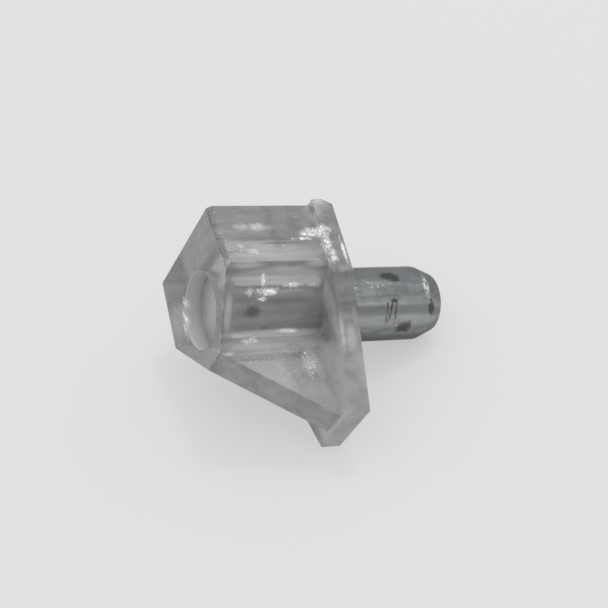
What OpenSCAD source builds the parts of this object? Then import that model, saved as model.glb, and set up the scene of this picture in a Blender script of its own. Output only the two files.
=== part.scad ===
// Shelf support pin: a clear moulded bracket with a straight steel pin pressed into it.
// +X runs along the pin into the wall panel, +Z is up, and the shelf rests on the flat top.
// The origin is on the pin's axis, at the back face of the wall plate.

/* [Pin] */
// Diameter of the steel pin
pin_d = 5; // [3:0.1:6]
// Straight length of the pin that stands out of the wall plate
pin_straight = 7.1; // [4:0.1:15]
// Length of the chamfer at the pin's free end
pin_chamfer_l = 1.2; // [0.4:0.1:2]
// How far the chamfer brings the pin's radius in
pin_chamfer_r = 0.5; // [0.2:0.05:0.8]
// Radius that rounds the rim of the pin's flat end
pin_end_round = 0.25; // [0.1:0.05:0.5]
// Size of the chamfer at the pin's inner end
pin_inner_chamfer = 0.3; // [0.1:0.05:0.6]
// How far the pin's inner end lies behind the front face
pin_setback = 1.0; // [0.5:0.1:4]
// Distance from the wall plate's back face to the pin's locking groove
groove_inset = 0.1; // [0.05:0.05:0.2]
// Width of the pin's locking groove, which lies inside the wall plate
groove_w = 0.6; // [0.5:0.05:0.6]
// Depth of the pin's locking groove
groove_depth = 0.2; // [0.1:0.05:0.4]
// Air gap between the pin and the plastic moulded round it
pin_gap = 0.01; // [0.01:0.01:0.05]

/* [Block] */
// Height of the shelf seat above the pin's axis
seat_h = 4.85; // [3.6:0.05:8]
// Width of the seat
seat_w = 9.6; // [8:0.1:16]
// Width of the block at its shoulders, where the sloped underside starts
shoulder_w = 10.6; // [8:0.1:18]
// Height of the shoulders above the pin's axis
shoulder_h = 0.3; // [-1:0.05:1]
// Length of the block from its front face to the wall plate
block_l = 7.1; // [5:0.1:14]
// Depth of the sloped underside's lowest edge below the pin's axis
keel_h = 3.8; // [3.3:0.1:7]
// Chamfer on the two upright front corners
corner_chamfer = 0.3; // [0.1:0.05:1]

/* [Rib] */
// Thickness of the rib under the block
rib_t = 2.2; // [1:0.1:4]
// Depth below the pin's axis at which the rib's edge meets the wall plate
rib_h = 8.7; // [5:0.1:16]

/* [Wall plate] */
// Thickness of the wall plate
plate_t = 1.4; // [0.8:0.1:3]
// Width of the wall plate across its upright sides
plate_w = 11.1; // [10:0.1:20]
// Distance below the pin's axis at which the plate starts to narrow
plate_taper_h = 0.35; // [-1:0.05:2]
// Depth of the plate's lower edge below the pin's axis
plate_h = 9.15; // [7:0.05:18]
// Width of the plate's lower edge
plate_foot_w = 4.9; // [3:0.1:9]
// Chamfer along the plate's upper back edge, measured along the thickness
plate_chamfer_x = 0.7; // [0.1:0.05:0.75]
// Chamfer along the plate's upper back edge, measured down the back face
plate_chamfer_z = 0.4; // [0.1:0.05:1]

/* [Hidden] */
$fn = 96;
// Overlap that joins touching solids into one, and clears the faces that a cut passes through
join = 0.2;
plate_front = -plate_t;
front_face = plate_front - block_l;
pin_r = pin_d / 2;
bore_r = pin_r + pin_gap;
// The locking groove's two ends along X
groove_back = -groove_inset;
groove_front = groove_back - groove_w;

// Turns an outline drawn in X and Y into a slab with Y across, Z up, running along +X
module across(length) {
    rotate([90, 0, 90]) linear_extrude(height = length) children();
}

// Turns an outline drawn in X and Z into a slab of the given width, centred on the pin's axis
module lengthwise(width) {
    translate([0, width / 2, 0]) rotate([90, 0, 0]) linear_extrude(height = width) children();
}

// The block's outline: flat seat, slightly flared sides, and an underside sloping to the keel
module block_outline() {
    polygon([
        [-seat_w / 2, seat_h],
        [-shoulder_w / 2, shoulder_h],
        [-rib_t / 2, -keel_h],
        [rib_t / 2, -keel_h],
        [shoulder_w / 2, shoulder_h],
        [seat_w / 2, seat_h]
    ]);
}

// The wall plate's outline: upright sides that taper to a narrow flat foot
module plate_outline() {
    polygon([
        [-plate_w / 2, seat_h],
        [-plate_w / 2, -plate_taper_h],
        [-plate_foot_w / 2, -plate_h],
        [plate_foot_w / 2, -plate_h],
        [plate_w / 2, -plate_taper_h],
        [plate_w / 2, seat_h]
    ]);
}

// The rib's side view: a triangle from the keel's front end down to the wall plate
module rib_outline() {
    polygon([
        [front_face, -keel_h],
        [front_face, -keel_h + join],
        [plate_front + join, -keel_h + join],
        [plate_front + join, -rib_h],
        [plate_front, -rib_h]
    ]);
}

// What the chamfer takes off one upright front corner of the block, side = 1 or -1
module front_corner_cut(side) {
    lean = atan2(shoulder_w / 2 - seat_w / 2, seat_h - shoulder_h);
    translate([front_face, side * seat_w / 2, seat_h])
        rotate([side * lean, 0, 0])
            rotate([0, 0, 45])
                cube([corner_chamfer * sqrt(2), corner_chamfer * sqrt(2), 4 * seat_h], center = true);
}

// What the chamfer takes off the plate's upper back edge
module plate_edge_cut() {
    lengthwise(plate_w + 2 * join)
        polygon([
            [-plate_chamfer_x, seat_h],
            [0, seat_h - plate_chamfer_z],
            [join, seat_h - plate_chamfer_z],
            [join, seat_h + join],
            [-plate_chamfer_x, seat_h + join]
        ]);
}

// The hole through the body, with the lip inside the wall plate that locks into the pin's groove
module pin_hole() {
    lip_r = bore_r - groove_depth;
    rotate([0, 90, 0])
        rotate_extrude()
            polygon([
                [0, front_face - join],
                [bore_r, front_face - join],
                [bore_r, groove_front + pin_gap],
                [lip_r, groove_front + pin_gap],
                [lip_r, groove_back - pin_gap],
                [bore_r, groove_back - pin_gap],
                [bore_r, join],
                [0, join]
            ]);
}

module support_body() {
    color([0.72, 0.74, 0.73, 0.5])
        difference() {
            union() {
                difference() {
                    translate([front_face, 0, 0]) across(block_l + join) block_outline();
                    front_corner_cut(1);
                    front_corner_cut(-1);
                }
                difference() {
                    translate([plate_front, 0, 0]) across(plate_t) plate_outline();
                    plate_edge_cut();
                }
                lengthwise(rib_t) rib_outline();
            }
            pin_hole();
        }
}

// Half of the pin's length section, from its inner end to its free end, radius first
module pin_profile() {
    end_r = pin_r - pin_chamfer_r;
    groove_r = pin_r - groove_depth;
    inner_end = front_face + pin_setback;
    chamfer_end = pin_straight + pin_chamfer_l;
    slope = atan2(pin_chamfer_r, pin_chamfer_l);
    round_r = end_r - pin_end_round * cos(slope);
    round_x = chamfer_end - pin_end_round * sin(slope);
    round_steps = 8;
    polygon(concat(
        [[0, inner_end], [pin_r - pin_inner_chamfer, inner_end], [pin_r, inner_end + pin_inner_chamfer]],
        [[pin_r, groove_front], [groove_r, groove_front], [groove_r, groove_back], [pin_r, groove_back]],
        [[pin_r, pin_straight]],
        [for (step = [0 : round_steps])
            let (turn = slope + (90 - slope) * step / round_steps)
            [round_r + pin_end_round * cos(turn), round_x + pin_end_round * sin(turn)]],
        [[0, round_x + pin_end_round]]
    ));
}

module steel_pin() {
    color([0.45, 0.48, 0.5])
        rotate([0, 90, 0])
            rotate_extrude() pin_profile();
}

support_body();
steel_pin();
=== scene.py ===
# %% [markdown]
# # A clear shelf support with a steel pin
# The real object is two pieces. A small clear bracket is moulded round one end of a straight
# steel pin. The pin goes into a drilled cabinet side, and a loose shelf rests on the flat top.
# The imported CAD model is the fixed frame. The outer sizes below come from its nodes, and the sizes
# inside it repeat the model's own. Lengths in code are in metres, so 7.1 mm is written 7.1 * MM.

# %% Load the frame
import math

import bpy
import numpy as np
from mathutils import Matrix, Vector


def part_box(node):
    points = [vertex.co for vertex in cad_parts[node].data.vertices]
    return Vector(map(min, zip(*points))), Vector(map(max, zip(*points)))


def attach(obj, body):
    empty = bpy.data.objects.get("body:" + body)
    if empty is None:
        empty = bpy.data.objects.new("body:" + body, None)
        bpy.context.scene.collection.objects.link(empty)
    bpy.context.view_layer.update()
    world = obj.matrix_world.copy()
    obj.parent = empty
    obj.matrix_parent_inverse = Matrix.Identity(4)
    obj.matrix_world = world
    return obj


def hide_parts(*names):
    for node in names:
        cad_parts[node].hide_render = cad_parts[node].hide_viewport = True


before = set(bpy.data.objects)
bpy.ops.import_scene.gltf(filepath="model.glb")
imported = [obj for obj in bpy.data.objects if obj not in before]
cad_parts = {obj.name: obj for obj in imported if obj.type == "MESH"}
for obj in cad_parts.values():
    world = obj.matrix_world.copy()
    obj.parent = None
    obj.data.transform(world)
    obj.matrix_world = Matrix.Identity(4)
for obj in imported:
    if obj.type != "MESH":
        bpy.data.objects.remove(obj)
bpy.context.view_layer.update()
MM = 0.001
body_low, body_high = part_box("support_body")
pin_low, pin_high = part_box("steel_pin")
print("body", tuple(body_low), tuple(body_high), "pin", tuple(pin_low), tuple(pin_high))

# %% [markdown]
# ## Helpers for meshes
# Both pieces are made from arrays of points. A revolved piece is a grid: one direction runs along
# the profile, the other round the axis. The bracket is a solid with flat faces, so it is a list of
# named corners and the faces between them.

# %% Mesh helpers
def make_object(name, points, faces):
    """A mesh object at the origin from an array of points and a list of faces as point numbers."""
    mesh = bpy.data.meshes.new(name)
    mesh.from_pydata([tuple(map(float, p)) for p in points], [], [list(map(int, f)) for f in faces])
    mesh.validate()
    mesh.update()
    piece = bpy.data.objects.new(name, mesh)
    bpy.context.scene.collection.objects.link(piece)
    return piece


def ring_points(x, radius, count):
    """Circles round the X axis, one for each pair of x and r: y = r cos t and z = r sin t."""
    turn = np.linspace(0, 2 * math.pi, count, endpoint=False)
    x, radius = np.atleast_1d(x)[:, None], np.atleast_1d(radius)[:, None]
    grid = np.stack([x + 0 * turn, radius * np.cos(turn), radius * np.sin(turn)], axis=-1)
    return grid.reshape(-1, 3)


def ring_quads(rows, count, outward=True):
    """The quads that join each ring of a grid to the next one along X."""
    row, column = np.meshgrid(np.arange(rows - 1), np.arange(count), indexing="ij")
    following = (column + 1) % count
    here, there = row * count, (row + 1) * count
    quads = np.stack([here + column, here + following, there + following, there + column], axis=-1)
    quads = quads.reshape(-1, 4)
    return quads if outward else quads[:, ::-1]


# %% [markdown]
# ## The pin
# A steel pin is turned, so it is a profile spun round its axis. The profile has a flat inner end
# with a small chamfer, a locking groove inside the wall plate, and a long lead-in chamfer with a
# rounded rim at the free end. A plain cylinder with a bevel would be quicker, but it would round
# every edge alike and have no groove. Close rings near each edge keep the shading crisp.

# %% Pin profile
ROUND = 160
pin_r = pin_high.z
pin_straight_end = 7.1 * MM
chamfer_length, chamfer_in = 1.2 * MM, 0.5 * MM
rim_round = 0.25 * MM
inner_chamfer = 0.3 * MM
groove_back, groove_front, groove_r = -0.1 * MM, -0.7 * MM, pin_r - 0.2 * MM
edge_break = 0.06 * MM


def rounded(corner, before, after, size, steps=5):
    """A curve that cuts a profile's corner c, from a before it to b after it.

    Its points are (1 - t)^2 a + 2 t (1 - t) c + t^2 b, with t from 0 to 1.
    """
    corner, before, after = map(np.array, (corner, before, after))
    start = corner + (before - corner) / np.linalg.norm(before - corner) * size
    stop = corner + (after - corner) / np.linalg.norm(after - corner) * size
    t = np.linspace(0, 1, steps)[:, None]
    return (1 - t) ** 2 * start + 2 * t * (1 - t) * corner + t ** 2 * stop


# the chamfer's line meets the flat end at this radius, and the rim's curve starts and stops near it
chamfer_slope = chamfer_in / chamfer_length
rim_r = pin_r - chamfer_slope * (pin_high.x - pin_straight_end)
corners = np.array([
    (pin_low.x, 0),
    (pin_low.x, pin_r - inner_chamfer),
    (pin_low.x + inner_chamfer, pin_r),
    (groove_front, pin_r),
    (groove_front, groove_r),
    (groove_back, groove_r),
    (groove_back, pin_r),
    (pin_straight_end, pin_r),
    (pin_high.x, rim_r),
    (pin_high.x, 0),
])
RIM_SHARE = 0.67
TIP_EDGE_SHARE = 3
breaks = [edge_break] * 6 + [TIP_EDGE_SHARE * edge_break, RIM_SHARE * rim_round]
profile = [corners[:1]]
for i, size in enumerate(breaks, start=1):
    profile.append(rounded(corners[i], corners[i - 1], corners[i + 1], size))
profile.append(corners[-1:])
profile = np.vstack(profile)
print("pin profile has", len(profile), "points")

# %% Spin the pin
inner, outer = profile[1:-1, 0], profile[1:-1, 1]
points = np.vstack([ring_points(inner, outer, ROUND), [(pin_low.x, 0, 0)], [(pin_high.x, 0, 0)]])
quads = ring_quads(len(inner), ROUND)
last = (len(inner) - 1) * ROUND
ends = [[(k + 1) % ROUND, k, len(points) - 2] for k in range(ROUND)]
ends += [[last + k, last + (k + 1) % ROUND, len(points) - 1] for k in range(ROUND)]
pressed_pin = make_object("pressed_pin", points, [*quads, *ends])
for polygon in pressed_pin.data.polygons:
    polygon.use_smooth = True
PIN_SHARP_ANGLE = math.radians(50)
pressed_pin.data.set_sharp_from_angle(angle=PIN_SHARP_ANGLE)
print("pin faces", len(pressed_pin.data.polygons))

# %% [markdown]
# ## The clear bracket
# The bracket is a block with a sloped underside, a rib below it and a wall plate behind. It could
# be cut from boxes with booleans, but light would then bend at every leftover inner face. So it is
# one closed solid: named corners, the flat faces between them and a round hole. A bevel then
# rounds every edge a little, as a mould does.

# %% Bracket sizes
front = body_low.x
plate_front = -1.4 * MM
seat_z = body_high.z
seat_half, shoulder_half, rib_half = 4.8 * MM, 5.3 * MM, 1.1 * MM
shoulder_z, keel_z, rib_z = 0.3 * MM, -3.8 * MM, -8.7 * MM
plate_half, foot_half = body_high.y, 2.45 * MM
taper_z, foot_z = -0.35 * MM, body_low.z
corner_cut = 0.3 * MM
top_cut_x, top_cut_z = 0.7 * MM, 0.4 * MM
hole_r = pin_r + 0.01 * MM
edge_round = 0.1 * MM

# the upright corner's chamfer runs down the flared side until it meets the sloped underside
flare = (shoulder_half - seat_half) / (seat_z - shoulder_z)
slope = (shoulder_z - keel_z) / (shoulder_half - rib_half)
drop = (seat_z - shoulder_z - slope * (seat_half - corner_cut - shoulder_half)) / (1 + slope * flare)
cut_y, cut_z = seat_half - corner_cut + flare * drop, seat_z - drop
print("chamfer ends at", round(cut_y / MM, 3), round(cut_z / MM, 3))

# %% Bracket corners and faces
CORNERS = {
    "seat_front": (front, seat_half - corner_cut, seat_z),
    "seat_side": (front + corner_cut, seat_half, seat_z),
    "seat_plate": (plate_front, seat_half, seat_z),
    "plate_top": (plate_front, plate_half, seat_z),
    "plate_ridge": (-top_cut_x, plate_half, seat_z),
    "back_top": (0, plate_half, seat_z - top_cut_z),
    "back_side": (0, plate_half, taper_z),
    "back_foot": (0, foot_half, foot_z),
    "plate_side": (plate_front, plate_half, taper_z),
    "plate_foot": (plate_front, foot_half, foot_z),
    "shoulder_front": (front + corner_cut, shoulder_half, shoulder_z),
    "cut_end": (front, cut_y, cut_z),
    "shoulder_plate": (plate_front, shoulder_half, shoulder_z),
    "keel_front": (front, rib_half, keel_z),
    "keel_plate": (plate_front, rib_half, keel_z),
    "rib_foot": (plate_front, rib_half, rib_z),
}
names = list(CORNERS)
near = np.array([CORNERS[n] for n in names])
corner_points = np.vstack([near, near * (1, -1, 1)])


def at(name, side):
    """The number of a named corner: side 1 is +Y and side -1 is -Y."""
    return names.index(name) + (0 if side > 0 else len(names))


def loop(*steps):
    """A face that crosses the middle: the named corners on +Y, then the same ones on -Y in reverse."""
    return [at(n, 1) for n in steps] + [at(n, -1) for n in reversed(steps)]


# the wall plate's front face runs round its own edge, then back along the block's and the rib's
PLATE_EDGE = ("seat_plate", "plate_top", "plate_side", "plate_foot")
BLOCK_EDGE = ("shoulder_plate", "keel_plate", "rib_foot")
faces = [
    loop("seat_front", "seat_side", "seat_plate", "plate_top", "plate_ridge"),
    loop("plate_ridge", "back_top"),
    loop("back_foot", "plate_foot"),
    loop("rib_foot", "keel_front"),
    [at(n, 1) for n in PLATE_EDGE] + [at(n, -1) for n in PLATE_EDGE[::-1]]
    + [at(n, -1) for n in BLOCK_EDGE] + [at(n, 1) for n in BLOCK_EDGE[::-1]],
]
for side in (1, -1):
    for steps in (
        ("seat_side", "seat_front", "cut_end", "shoulder_front"),
        ("seat_plate", "seat_side", "shoulder_front", "shoulder_plate"),
        ("shoulder_plate", "shoulder_front", "cut_end", "keel_front", "keel_plate"),
        ("keel_plate", "keel_front", "rib_foot"),
        ("plate_top", "plate_side", "back_side", "back_top", "plate_ridge"),
        ("plate_side", "plate_foot", "back_foot", "back_side"),
    ):
        faces.append([at(n, side) for n in steps])

# %% Bracket hole
lip_r = hole_r - 0.2 * MM
lip_gap = 0.01 * MM
lip_front, lip_back = groove_front + lip_gap, groove_back - lip_gap
hole_x = [front, lip_front, lip_front, lip_back, lip_back, 0]
hole_radius = [hole_r, hole_r, lip_r, lip_r, hole_r, hole_r]
first_ring = len(corner_points)
hole_points = ring_points(np.array(hole_x), np.array(hole_radius), ROUND)
faces += [list(q + first_ring) for q in ring_quads(len(hole_x), ROUND, outward=False)]
last_ring = first_ring + (len(hole_x) - 1) * ROUND


def flat_with_hole(outline, ring, start, stop):
    """A flat face with a round hole, as two faces that share two bridges from outline corners to the ring.

    outline lists the corner numbers in the ring's turning sense. start and stop are places in that
    list; each bridge ends at the ring point whose angle is nearest the corner's.
    """
    def ring_at(corner):
        """The ring point in the same direction from the axis as a corner."""
        y, z = corner_points[corner][1:]
        return round(math.atan2(z, y) / (2 * math.pi) * ROUND) % ROUND

    turned = outline[start:] + outline[:start]
    split = (stop - start) % len(outline)
    halves = []
    for arc in (turned[:split + 1], turned[split:] + turned[:1]):
        a, b = ring_at(arc[0]), ring_at(arc[-1])
        back = [(b - k) % ROUND for k in range((b - a) % ROUND + 1)]
        halves.append(arc + [ring + k for k in back])
    return halves


front_outline = [at(n, 1) for n in ("keel_front", "cut_end", "seat_front")]
front_outline += [at(n, -1) for n in ("seat_front", "cut_end", "keel_front")]
back_outline = [at(n, 1) for n in ("back_foot", "back_side", "back_top")]
back_outline += [at(n, -1) for n in ("back_top", "back_side", "back_foot")]
faces += flat_with_hole(front_outline, first_ring, 0, 3)
faces += flat_with_hole(back_outline, last_ring, 0, 3)
print("hole rings", len(hole_x), "lip radius", round(lip_r / MM, 3))

# %% Bracket mesh
BEVEL_ANGLE = math.radians(20)
BEVEL_STEPS = 3
clear_support = make_object("clear_support", np.vstack([corner_points, hole_points]), faces)
bpy.context.view_layer.objects.active = clear_support
clear_support.select_set(True)
bpy.ops.object.mode_set(mode="EDIT")
bpy.ops.mesh.select_all(action="SELECT")
bpy.ops.mesh.normals_make_consistent(inside=False)
bpy.ops.object.mode_set(mode="OBJECT")
for polygon in clear_support.data.polygons:
    polygon.use_smooth = True
bevel = clear_support.modifiers.new("edge_round", "BEVEL")
bevel.width = edge_round
bevel.segments = BEVEL_STEPS
bevel.limit_method = "ANGLE"
bevel.angle_limit = BEVEL_ANGLE
bevel.harden_normals = True
bevel.use_clamp_overlap = True
print("bracket faces before the bevel", len(clear_support.data.polygons))

# %% [markdown]
# ## Shader maths
# A small class wraps a node socket, so that an expression such as 1 - mask * 0.5 adds the Math
# nodes by itself. One method adds any other node from its type, its settings and its values.

# %% Shader helpers
class Wire:
    """An output socket with arithmetic. Each operator adds one Math node to the same node tree."""

    def __init__(self, tree, socket):
        self.tree, self.socket = tree, socket

    def math(self, operation, *values):
        """The Wire out of a Math node on this value and the others."""
        node = self.tree.nodes.new("ShaderNodeMath")
        node.operation = operation
        for slot, value in zip(node.inputs, (self, *values)):
            plug(self.tree, slot, value)
        return Wire(self.tree, node.outputs[0])

    def __add__(self, other):
        return self.math("ADD", other)

    __radd__ = __add__

    def __mul__(self, other):
        return self.math("MULTIPLY", other)

    __rmul__ = __mul__

    def __sub__(self, other):
        return self.math("SUBTRACT", other)

    def __rsub__(self, other):
        return (self * -1.0) + other

    def __truediv__(self, other):
        return self.math("DIVIDE", other)

    def __pow__(self, other):
        return self.math("POWER", other)


def plug(tree, slot, value):
    """Links a Wire to an input, or sets the input's own value to a number or a tuple."""
    if isinstance(value, Wire):
        tree.links.new(value.socket, slot)
    else:
        slot.default_value = value


class Finish:
    """A new node material with one Principled shader, and methods that add nodes to it."""

    def __init__(self, name):
        self.material = bpy.data.materials.new(name)
        self.material.use_nodes = True
        self.tree = self.material.node_tree
        self.tree.nodes.clear()
        self.output = self.tree.nodes.new("ShaderNodeOutputMaterial")
        self.place = self.wire(self.add("ShaderNodeTexCoord"), "Object")

    def add(self, kind, settings=None, values=None):
        """Adds a node of a type, sets its settings first and then the values or links of its sockets."""
        node = self.tree.nodes.new(kind)
        for key, value in (settings or {}).items():
            setattr(node, key, value)
        for key, value in (values or {}).items():
            plug(self.tree, node.inputs[key], value)
        return node

    def wire(self, node, name=0):
        """One output of a node as a Wire."""
        return Wire(self.tree, node.outputs[name])

    def axes(self):
        """The X, Y and Z of the place on the piece, in millimetres."""
        split = self.add("ShaderNodeSeparateXYZ", values={"Vector": self.place})
        return [self.wire(split, axis) * (1 / MM) for axis in "XYZ"]

    def noise(self, size, detail=2.0, roughness=0.5, stretch=(1, 1, 1), shift=(0, 0, 0)):
        """A noise value from 0 to 1 whose blobs are about size metres wide, stretched along each axis."""
        scale = tuple(1 / (size * s) for s in stretch)
        mapped = self.add("ShaderNodeMapping", values={
            "Vector": self.place, "Scale": scale, "Location": shift})
        node = self.add("ShaderNodeTexNoise", values={
            "Vector": self.wire(mapped), "Scale": 1.0, "Detail": detail, "Roughness": roughness})
        return self.wire(node, "Fac")

    def ramp(self, value, low, high):
        """A value that goes smoothly from 0 to 1 as the input goes from low to high."""
        node = self.add("ShaderNodeMapRange", {"interpolation_type": "SMOOTHSTEP"}, {
            "Value": value, "From Min": low, "From Max": high})
        return self.wire(node)

    def mix(self, factor, first, second):
        """A colour that goes from the first to the second as the factor goes from 0 to 1."""
        node = self.add("ShaderNodeMix", {"data_type": "RGBA"})
        plug(self.tree, node.inputs["Factor"], factor)
        plug(self.tree, node.inputs["A"], first)
        plug(self.tree, node.inputs["B"], second)
        return Wire(self.tree, node.outputs["Result"])

    def patch(self, centre, size, soft=0.5, ragged=None):
        """A mask that is 1 inside an ellipsoid and 0 outside it, in millimetres.

        It falls from 1 to 0 as s = sqrt(sum(((p - c) / r)^2)) passes 1.
        """
        total = 0.0
        for value, middle, reach in zip(self.axes(), centre, size):
            total = ((value - middle) / reach) ** 2 + total
        distance = total ** 0.5
        if ragged is not None:
            distance = distance + ragged
        return self.ramp(distance, 1 + soft, 1 - soft)

    def union(self, masks):
        """The largest of several masks."""
        result = masks[0]
        for mask in masks[1:]:
            result = result.math("MAXIMUM", mask)
        return result

    def spots(self, table, soft, ragged):
        """One mask from a table of patches: the largest of strength * patch."""
        return self.union([
            self.patch(place, size, soft, ragged) * strength for place, size, strength in table])

    def blend(self, factor, first, second):
        """Sends a mix of two shader nodes to the material's surface."""
        node = self.add("ShaderNodeMixShader", values={0: factor})
        self.tree.links.new(first.outputs[0], node.inputs[1])
        self.tree.links.new(second.outputs[0], node.inputs[2])
        self.tree.links.new(node.outputs[0], self.output.inputs["Surface"])

    def bump(self, height, distance):
        """A bumped normal from a height value, with distance in metres for a height of 1."""
        node = self.add("ShaderNodeBump", values={"Height": height, "Distance": distance})
        return self.wire(node, "Normal")

    def principled(self, values):
        """A Principled shader with these values and links, sent to the material's surface."""
        node = self.add("ShaderNodeBsdfPrincipled", values=values)
        self.tree.links.new(node.outputs[0], self.output.inputs["Surface"])
        return node


# %% [markdown]
# ## Zinc-plated steel
# The pin is dull grey steel, drawn lengthwise, so its streaks run along X. It carries a few dark
# handling smudges and thin strokes of dirt. Its colour also holds painted shade on the crown, the tip
# and the underside, painted light on the belly and the length in the plastic, a painted dark
# reflection band and a painted highlight on the rim. A painted image would blur close up, so noise
# stretched along X makes the streaks and small tables place the marks.

# %% Steel colours and marks
STEEL_DARK = (0.16, 0.17, 0.175, 1)
STEEL_LIGHT = (0.36, 0.375, 0.38, 1)
# painted shade for the pin's underside
STEEL_PAINTED_SHADE = (0.09, 0.095, 0.1, 1)
STEEL_DIRT = (0.035, 0.036, 0.038, 1)
# bare steel for the flecks, and the colour of painted light and the painted rim highlight
STEEL_BARE_AND_LIT = (0.85, 0.86, 0.86, 1)
# Each smudge is a centre and a reach along X, Y and Z, in millimetres, and a strength.
PIN_SMUDGES = [
    ((4.45, -2.42, 0.72), (0.65, 0.8, 0.3), 0.75),
    ((4.85, -2.45, 0.45), (0.35, 0.8, 0.25), 0.75),
    ((5.4, -0.9, -2.36), (0.6, 0.5, 0.35), 0.75),
    ((4.45, -2.25, -1.1), (0.3, 0.4, 0.12), 0.75),
    ((7.4, -1.9, -1.5), (0.28, 0.6, 0.5), 0.75),
    ((-6.15, -2.13, -1.32), (0.55, 0.5, 0.45), 0.8),
    ((-5.2, -1.2, -2.2), (0.4, 0.35, 0.2), 0.7),
]
# Each thin stroke of dirt is a line x = start + slope * (z - STROKE_TOP), down the side of the pin.
STROKE_TOP = -1.2
PIN_STROKES = [(4.30, 0.22), (4.58, 0.03), (3.95, 0.05)]
print("steel has", len(PIN_SMUDGES), "smudges and", len(PIN_STROKES), "strokes")


# %% Pin finish
def pin_finish():
    """Steel with streaks stretched along X, blotches in the plating, dark smudges at listed places, and
    painted shade, painted light, a painted dark reflection band and a painted rim highlight.

    Ramps on x, y and z are in millimetres, and each one is a soft step between two places.
    """
    f = Finish("pin_steel")
    tip_x, inner_x = pin_straight_end / MM, pin_low.x / MM
    streak = f.noise(0.35 * MM, detail=3.0, stretch=(10, 1, 1))
    fine = f.noise(0.10 * MM, detail=2.0, stretch=(14, 1, 1), shift=(3, 1, 7))
    blotch = f.noise(1.2 * MM, detail=4.0, roughness=0.65)
    speck = f.noise(0.16 * MM, detail=2.0, stretch=(1.6, 1, 1), shift=(9, 4, 2))
    tone = f.ramp(streak * 0.45 + fine * 0.2 + blotch * 0.55, 0.40, 0.82)
    colour = f.mix(tone, STEEL_DARK, STEEL_LIGHT)
    pits = f.ramp(speck, 0.66, 0.74) * f.ramp(blotch, 0.42, 0.6)
    colour = f.mix(pits * 0.7, colour, STEEL_DIRT)
    # painted shade darkens the crown, the tip and the underside, and painted light makes the belly, the
    # length in the plastic and its inner end paler
    x, y, z = f.axes()
    underside_painted_shade = f.ramp(y, -0.7, 0.5) * f.ramp(z, 0.5, -1.0)
    crown = f.ramp(z, -0.4, 1.0)
    belly = f.ramp(z, -0.6, -1.4) * f.ramp(y, -0.6, -1.2)
    tip = f.ramp(x, tip_x, tip_x + 0.4)
    inside = f.ramp(x, -1.0, -2.0)
    inner_end = f.ramp(x, inner_x + 0.15, inner_x + 0.05)
    # a painted dark reflection: a band along the lower near side of the bare length
    dark_reflection_band = f.ramp(z, -1.2, -1.45) * f.ramp(z, -1.95, -1.7) * f.ramp(y, -1.0, -1.4)
    # painted shade: the crown and the chamfered tip are darkened
    colour = f.mix(0.6 * crown + 0.5 * tip, colour, STEEL_DARK)
    # painted shade along the underside
    colour = f.mix(0.9 * underside_painted_shade, colour, STEEL_PAINTED_SHADE)
    # painted light: the belly, the length seen through the plastic and its inner end are paler
    colour = f.mix(0.25 * belly + inside * (0.45 + 0.08 * inner_end), colour, STEEL_BARE_AND_LIT)
    # painted dark reflection band on the bare length
    colour = f.mix(0.6 * dark_reflection_band * (1.0 - inside), colour, STEEL_DARK)
    # bright flecks, then ragged smudges and thin strokes of dirt
    flecks = f.ramp(speck, 0.60, 0.70) * f.patch((2.6, -2.5, 0.0), (2.2, 0.8, 0.45), 0.5)
    colour = f.mix(0.5 * flecks, colour, STEEL_BARE_AND_LIT)
    ragged = (blotch - 0.5) * 1.6 + (speck - 0.5) * 1.2
    smudges = f.spots(PIN_SMUDGES, 0.35, ragged)
    colour = f.mix(smudges, colour, STEEL_DIRT)
    down = f.ramp(z, -1.05, -1.25) * f.ramp(z, -2.35, -2.2) * f.ramp(y, -0.6, -0.9)
    aside = [
        x - start - slope * (z - STROKE_TOP) + (speck - 0.5) * 0.3 for start, slope in PIN_STROKES]
    strokes = f.union([f.ramp(value.math("ABSOLUTE"), 0.10, 0.03) for value in aside]) * down
    colour = f.mix(strokes * f.ramp(blotch, 0.35, 0.5) * 0.7, colour, STEEL_DIRT)
    # a painted highlight, broken up by specks, on the near side of the rim where the straight length ends
    rim_highlight_patch = f.patch((7.14, -2.45, -0.1), (0.26, 1.0, 0.85), 0.4, (speck - 0.5) * 1.6)
    painted_rim_highlight = rim_highlight_patch * f.ramp(speck, 0.42, 0.55)
    colour = f.mix(painted_rim_highlight, colour, STEEL_BARE_AND_LIT)
    rough = 0.34 + 0.2 * blotch + 0.1 * streak - 0.12 * painted_rim_highlight
    normal = f.bump(streak * 0.6 + fine * 0.2 + speck * 0.25, 0.010 * MM)
    f.principled({"Base Color": colour, "Metallic": 0.85, "Roughness": rough, "Normal": normal})
    return f.material


# %% [markdown]
# ## Clear moulded plastic
# The bracket is clear plastic with a slightly hazy skin. It bends light strongly, so the pin shows
# shifted through the sloped underside. The rib and flanks keep a fine texture from the mould, and the
# glints it catches are painted highlights in the milky skin's colour. Glass alone looks too clean and
# plain grey too dull, so a clear skin is mixed with a milky one, whose colour also holds painted light
# and painted shade. Noise alone would spread the painted highlights evenly, so small tables say where
# they, the painted light and shade, and the haze lie.

# %% Plastic colours and marks
PLASTIC_IOR = 1.58
PLASTIC_CLEAR = (0.90, 0.905, 0.895, 1)
MILK_GREY = (0.20, 0.20, 0.195, 1)
MILK_LIGHT = (0.34, 0.34, 0.33, 1)
# painted shade colour for the dark patches
MILK_PAINTED_SHADE = (0.08, 0.08, 0.078, 1)
# painted light colour for the paler milky skin
MILK_PAINTED_LIGHT = (0.72, 0.72, 0.71, 1)
# painted highlight colours: the white of the glints and the glow of the brightest
PAINTED_GLINT_WHITE = (0.98, 0.98, 0.97, 1)
PAINTED_GLINT_GLOW = 0.45
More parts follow.
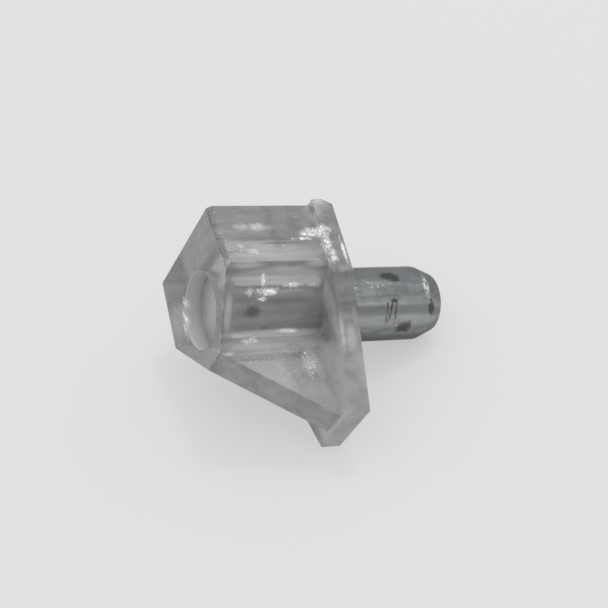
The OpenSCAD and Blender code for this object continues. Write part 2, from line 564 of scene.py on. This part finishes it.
# Each entry is a centre and a reach along X, Y and Z, in millimetres, and a strength.
# painted highlights: glints and bright sheens on the near flank, the plate edge, round the pin and on the
# front
PAINTED_GLINT_SPOTS = [
    ((-1.7, -5.1, 2.5), (0.8, 1.2, 0.38), 1.0),
    ((-2.5, -5.0, 2.08), (0.6, 0.6, 0.13), 0.9),
    ((-1.25, -5.5, 1.5), (0.26, 0.7, 0.8), 0.75),
    ((-1.15, -5.55, 0.5), (0.28, 0.7, 0.5), 0.8),
    ((-0.26, -5.55, 0.9), (0.11, 0.4, 0.75), 1.0),
    ((-1.1, -5.4, 4.7), (0.5, 0.5, 0.3), 0.3),
    ((-6.7, -4.97, 3.1), (0.5, 0.6, 0.22), 0.4),
    ((-5.6, -4.97, 3.1), (0.5, 0.6, 0.3), 0.5),
    ((-4.8, -4.97, 3.0), (0.4, 0.6, 0.2), 0.2),
    ((-7.2, -5.15, 1.5), (0.2, 0.6, 0.15), 0.5),
    ((-6.5, -5.15, 1.1), (0.35, 0.6, 0.2), 0.4),
    ((-5.9, -4.4, -0.5), (0.13, 0.6, 0.3), 0.6),
    ((-3.9, -4.15, -0.8), (0.5, 0.5, 0.10), 0.8),
    ((-5.55, -3.87, -1.05), (0.75, 0.4, 0.19), 1.0),
    ((-6.8, -3.87, -1.05), (0.2, 0.4, 0.2), 0.6),
    ((-5.85, -3.5, -1.4), (0.3, 0.4, 0.09), 0.8),
    ((-3.9, -2.02, -2.88), (0.6, 0.25, 0.10), 0.6),
    ((-6.5, -1.62, -3.26), (0.5, 0.25, 0.18), 0.4),
    ((-7.3, -1.8, -3.05), (0.7, 0.25, 0.10), 0.25),
    ((-2.5, -1.1, -4.9), (0.4, 0.4, 0.7), 0.4),
    ((-7.9, -1.2, -3.85), (0.35, 0.4, 0.12), 0.45),
    ((-8.5, 1.95, 1.75), (0.3, 0.22, 0.45), 0.5),
    ((-8.5, 2.5, 1.0), (0.3, 0.2, 0.55), 0.7),
    ((-8.5, 2.8, 0.2), (0.3, 0.16, 0.55), 0.6),
]
# haze patches that also carry painted light: the milky skin is paler where they lie
HAZE_AND_PAINTED_LIGHT_SPOTS = [
    ((-6.9, -5.17, 0.95), (0.9, 0.6, 0.35), 0.8),
    ((-4.6, -4.6, -0.35), (3.4, 0.9, 0.5), 1.2),
    ((-4.8, -1.5, -3.5), (3.6, 0.8, 0.45), 1.2),
    ((-5.1, -1.9, -3.0), (3.2, 0.5, 0.24), 1.5),
    ((-0.9, 0.0, 4.6), (0.9, 9.0, 0.7), 1.0),
    ((-8.15, -3.0, -2.0), (0.26, 1.4, 1.3), 1.1),
    ((-1.4, -3.9, -2.2), (0.3, 0.7, 3.0), 1.0),
    ((-2.0, -4.4, -0.7), (0.3, 0.6, 0.4), 1.0),
    ((-4.8, -5.2, 0.9), (3.0, 0.6, 0.55), 0.85),
    ((-0.7, -4.0, -4.7), (0.3, 0.5, 0.9), 0.6),
    ((-0.3, -4.6, -3.3), (0.2, 0.5, 0.6), 0.4),
    ((-7.1, -5.2, 0.15), (1.3, 0.4, 0.22), 1.2),
    ((-2.2, -5.2, 0.15), (0.8, 0.4, 0.22), 1.2),
    ((-1.4, -5.2, 4.2), (0.6, 0.8, 0.9), 1.0),
    ((-0.9, -5.55, 4.6), (0.6, 0.5, 0.3), 1.0),
]
# painted shade and painted dark reflections: dark patches under the shoulder, round the pin and by the
# rib's foot
PAINTED_SHADE_SPOTS = [
    ((-5.6, -4.87, 4.25), (0.8, 0.4, 0.3), 0.45),
    ((-4.3, -5.1, 0.03), (1.2, 0.5, 0.13), 0.8),
    ((-2.9, -4.93, 3.3), (0.55, 0.3, 0.5), 0.4),
    ((-4.6, -5.08, 1.75), (1.6, 0.4, 0.08), 0.9),
    ((-5.8, -5.2, 2.1), (2.0, 0.4, 0.22), 0.7),
    ((-1.15, -5.5, -0.9), (0.25, 0.5, 0.6), 0.8),
    ((-0.8, -5.0, -2.2), (0.6, 0.6, 0.35), 0.7),
    ((-6.46, -2.97, -1.93), (0.45, 0.45, 0.38), 1.0),
    ((-2.1, -1.1, -8.0), (0.55, 0.4, 0.3), 0.8),
    ((-0.6, -1.7, -8.6), (0.6, 0.6, 0.3), 0.6),
]
# faint painted glints on the mould texture of the rib, the flanks and the front
FAINT_TEXTURE_GLINTS = [
    ((-1.2, -5.5, 3.9), (0.5, 0.5, 0.4), 1.0),
    ((-6.9, -5.15, 1.0), (1.0, 0.6, 0.4), 1.0),
    ((-8.5, 3.1, 0.2), (0.3, 0.5, 0.9), 1.0),
    ((-2.8, -4.9, 4.1), (0.8, 0.6, 0.4), 1.0),
    ((-3.2, -1.1, -5.0), (2.6, 0.4, 1.9), 0.8),
    ((-2.8, -1.1, -4.2), (1.4, 0.4, 0.4), 0.9),
    ((-6.2, -1.1, -4.4), (1.4, 0.4, 0.3), 1.0),
    ((-8.2, -4.7, 2.6), (0.3, 0.6, 2.2), 1.0),
    ((-4.5, -5.1, 1.5), (2.6, 0.4, 0.1), 1.0),
]
print("plastic has", len(PAINTED_GLINT_SPOTS) + len(FAINT_TEXTURE_GLINTS), "sparks,",
      len(HAZE_AND_PAINTED_LIGHT_SPOTS), "milky and", len(PAINTED_SHADE_SPOTS), "dark spots")


# %% Plastic finish
def plastic_finish():
    """Hazy clear plastic: a rough refracting skin mixed with a milky one, whose colour holds painted
    glints, painted light and painted shade.

    The share of the milky skin is cover, from about 0.3 on bare plastic to 1 on a painted glint.
    """
    f = Finish("clear_plastic")
    x, y, z = f.axes()
    keel, plate_x, wall_r = keel_z / MM, plate_front / MM, hole_r / MM
    chamfer_x = (pin_low.x + inner_chamfer) / MM
    wave = f.noise(1.3 * MM, detail=2.0)
    grain = f.noise(0.09 * MM, detail=2.0, stretch=(2.0, 2.0, 1))
    cloud = f.noise(2.2 * MM, detail=4.0, roughness=0.6, shift=(2, 5, 1))
    flow = f.noise(0.6 * MM, detail=3.0, stretch=(6, 1, 1), shift=(1, 8, 3))
    ragged = (f.noise(0.4 * MM, detail=4.0, roughness=0.6, shift=(5, 2, 8)) - 0.5) * 2.2
    soft = (cloud - 0.5) * 1.2 + (flow - 0.5) * 0.9
    bright = f.spots(PAINTED_GLINT_SPOTS, 0.6, ragged)
    faint = f.spots(FAINT_TEXTURE_GLINTS, 0.6, soft)
    milky = f.spots(HAZE_AND_PAINTED_LIGHT_SPOTS, 0.5, soft)
    dark = f.spots(PAINTED_SHADE_SPOTS, 0.5, soft)
    # the hole's wall is milky in its open mouth and clearer round the pin
    radius = (y * y + z * z) ** 0.5
    inner = f.ramp(radius, wall_r + 0.05, wall_r + 0.02)
    mouth = inner * f.ramp(x, chamfer_x + 0.05, chamfer_x - 0.05)
    sleeve = inner - mouth
    # the rib below the keel, hazier and made paler with painted light
    rib_band = f.ramp(z, keel + 0.8, keel - 1.0)
    grains = f.ramp(grain, 0.48, 0.66)
    flakes = f.ramp(grain, 0.58, 0.68)
    # painted highlights: glints from the tables, whiter on the grain
    spark = bright * (0.55 + 0.45 * grains + 0.3 * flakes) + faint * flakes * 0.5
    spark = spark.math("MINIMUM", 1.0)
    normal = f.bump(wave + grain * (0.02 + 0.06 * faint + 0.1 * bright) + 0.25 * flow, 0.03 * MM)
    clear = f.add("ShaderNodeBsdfPrincipled", values={
        "Base Color": PLASTIC_CLEAR, "Roughness": 0.16, "IOR": PLASTIC_IOR,
        "Transmission Weight": 1.0, "Normal": normal})
    # the milky skin's colour, streaked along X above the keel and cloudy on the rib, with painted shade in
    # dark patches and painted light on the rib, the plate, the haze patches and the bore's mouth
    upper = 1.0 - f.ramp(z, keel + 0.8, keel - 0.7)
    streaky = f.ramp(cloud + (flow - cloud) * 0.6 * upper, 0.33, 0.67)
    milk = f.mix(streaky, MILK_GREY, MILK_LIGHT)
    # painted shade in the dark patches
    milk = f.mix(0.9 * dark, milk, MILK_PAINTED_SHADE)
    plate = f.ramp(x, plate_x - 0.2, plate_x + 0.1)
    # painted light: the rib, the plate, the haze patches and the bore's mouth are paler
    painted_light_share = rib_band * 0.40 + plate * 0.08 + milky * 0.45 + mouth * 0.68
    milk = f.mix(painted_light_share.math("MINIMUM", 1.0), milk, MILK_PAINTED_LIGHT)
    milk = f.mix(spark, milk, PAINTED_GLINT_WHITE)
    # painted highlight: the brightest glints glow, though they are no lamp
    painted_glint_light = f.mix(bright * (0.35 + 0.65 * grains), (0, 0, 0, 1), (1, 1, 1, 1))
    haze = f.add("ShaderNodeBsdfPrincipled", values={
        "Base Color": milk, "Roughness": 0.4, "IOR": PLASTIC_IOR, "Normal": normal,
        "Emission Color": painted_glint_light, "Emission Strength": PAINTED_GLINT_GLOW})
    cover = 0.30 + 0.18 * streaky + 0.12 * rib_band + 0.2 * milky + 0.4 * dark + 0.65 * mouth
    cover = (cover + 0.5 * spark) * (1.0 - 0.7 * sleeve)
    f.blend(cover.math("MINIMUM", 1.0), clear, haze)
    return f.material


# %% Put the finishes on
for piece, make_finish in ((clear_support, plastic_finish), (pressed_pin, pin_finish)):
    material = make_finish()
    piece.data.materials.append(material)
    print(material.name, "has", len(material.node_tree.nodes), "nodes")

# %% [markdown]
# ## Ride and replace
# A model without joints has one body, called root. Both pieces ride on it and stand for their
# CAD nodes.

# %% Tie the pieces to the frame
for piece, node, slot in (
    (clear_support, "support_body", "clear_plastic"),
    (pressed_pin, "steel_pin", "pin_steel"),
):
    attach(piece, "root")
    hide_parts(node)

# %% [markdown]
# ## Floor
# The loose support lies on its side, on the wall plate's flank and the rim of the pin. The object
# keeps its own frame, so the floor is tilted instead: it is the plane through those contacts. Seen
# from its back it lets light through, so the other side of the object can be looked at too.

# %% Floor plane
flank = np.array([0, plate_half, taper_z])
foot = np.array([0, foot_half, foot_z])
along = (flank - foot) / np.linalg.norm(flank - foot)
across = np.array([0, along[2], -along[1]])
reach = across @ flank
tilt = math.atan2(reach - pin_r, pin_straight_end)
down = np.array([math.sin(tilt), 0, 0]) + math.cos(tilt) * across
floor_up = Vector(-down)
FLOOR_GAP = 0.02 * MM
floor_point = Vector(flank) - floor_up * FLOOR_GAP
floor_side = Vector((1, 0, 0)) - floor_up * floor_up.x
floor_side.normalize()
floor_ahead = floor_up.cross(floor_side)
FLOOR_HALF = 1.0
floor_corners = [
    floor_point + floor_side * a * FLOOR_HALF + floor_ahead * b * FLOOR_HALF
    for a, b in ((-1, -1), (1, -1), (1, 1), (-1, 1))
]
floor = make_object("floor", floor_corners, [(0, 1, 2, 3)])
print("floor up", tuple(round(c, 3) for c in floor_up))

# %% Floor finish
FLOOR_GREY = (0.27, 0.27, 0.269, 1)
FLOOR_GLOW = 0.48


def floor_finish():
    """A matt light table that only shows from above: it glows faintly, and its back side is transparent."""
    f = Finish("floor_white")
    matt = f.add("ShaderNodeBsdfPrincipled", values={
        "Base Color": FLOOR_GREY, "Roughness": 0.9, "Specular IOR Level": 0.1,
        "Emission Color": (1, 1, 0.998, 1), "Emission Strength": FLOOR_GLOW})
    clear = f.add("ShaderNodeBsdfTransparent")
    facing = f.wire(f.add("ShaderNodeNewGeometry"), "Backfacing")
    f.blend(facing, matt, clear)
    return f.material


floor.data.materials.append(floor_finish())

# %% [markdown]
# ## Light
# Soft light comes from all of the room, more of it from above the floor. The room is darker near
# the horizon, which shades the plastic. A strong lamp would cast a hard shadow, so the one lamp is
# a weak window that only puts a gloss on the edges.

# %% World and lamps
ROOM_LIGHT = {"From Min": 0.3, "From Max": 0.9, "To Min": 0.55, "To Max": 1.15}


def room_light(above):
    """World light that is bright in the direction above and dim near the horizon and under it.

    Its strength is a soft step of the dot product of the ray's direction and above.
    """
    world = bpy.data.worlds.new("room")
    bpy.context.scene.world = world
    world.use_nodes = True
    tree = world.node_tree
    tree.nodes.clear()
    place = tree.nodes.new("ShaderNodeTexCoord")
    dot = tree.nodes.new("ShaderNodeVectorMath")
    dot.operation = "DOT_PRODUCT"
    tree.links.new(place.outputs["Generated"], dot.inputs[0])
    dot.inputs[1].default_value = above
    spread = tree.nodes.new("ShaderNodeMapRange")
    spread.interpolation_type = "SMOOTHSTEP"
    for key, value in ROOM_LIGHT.items():
        spread.inputs[key].default_value = value
    tree.links.new(dot.outputs["Value"], spread.inputs["Value"])
    sky = tree.nodes.new("ShaderNodeBackground")
    sky.inputs["Color"].default_value = (1.0, 1.0, 1.0, 1)
    tree.links.new(spread.outputs[0], sky.inputs["Strength"])
    out = tree.nodes.new("ShaderNodeOutputWorld")
    tree.links.new(sky.outputs[0], out.inputs["Surface"])


def soft_lamp(name, direction, distance, size, power):
    """A square area lamp that looks at the origin from a direction, with sizes in metres and watts."""
    lamp = bpy.data.lights.new(name, "AREA")
    lamp.shape, lamp.size, lamp.energy = "SQUARE", size, power
    holder = bpy.data.objects.new(name, lamp)
    bpy.context.scene.collection.objects.link(holder)
    direction = direction.normalized()
    holder.location = direction * distance
    holder.rotation_mode = "QUATERNION"
    holder.rotation_quaternion = direction.to_track_quat("Z", "Y")


# %% [markdown]
# ## Camera
# The camera looks at the support's front, its flank and its underside, from a hand's width away.

# %% Place the camera
view_azimuth, view_elevation, view_roll = map(math.radians, (-30.39, -26.53, 16.72))
view_distance = 103.75 * MM
aim = Vector((-2.55, -2.69, -1.36)) * MM
toward = Vector((
    math.sin(view_azimuth) * math.cos(view_elevation),
    -math.cos(view_azimuth) * math.cos(view_elevation),
    math.sin(view_elevation)))
level_right = Vector((0, 0, 1)).cross(toward).normalized()
level_up = toward.cross(level_right)
camera_up = level_up * math.cos(view_roll) + level_right * math.sin(view_roll)
camera_right = camera_up.cross(toward)
lens = bpy.data.cameras.new("camera")
lens.sensor_width, lens.lens = 36, 95.81
lens.clip_start, lens.clip_end = 1 * MM, 10
camera = bpy.data.objects.new("camera", lens)
bpy.context.scene.collection.objects.link(camera)
turn = Matrix((camera_right, camera_up, toward)).transposed().to_4x4()
camera.matrix_world = Matrix.Translation(aim + toward * view_distance) @ turn
bpy.context.scene.camera = camera
print("camera", round(view_distance / MM, 1), "mm from its aim, lens", lens.lens, "mm")

# %% Light the room
room_light((floor_up + 0.25 * camera_up).normalized())
window_side = floor_up + 0.6 * camera_up + 0.3 * camera_right
soft_lamp("window", window_side, distance=0.35, size=0.05, power=0.15)
bpy.context.scene.view_settings.view_transform = "Standard"
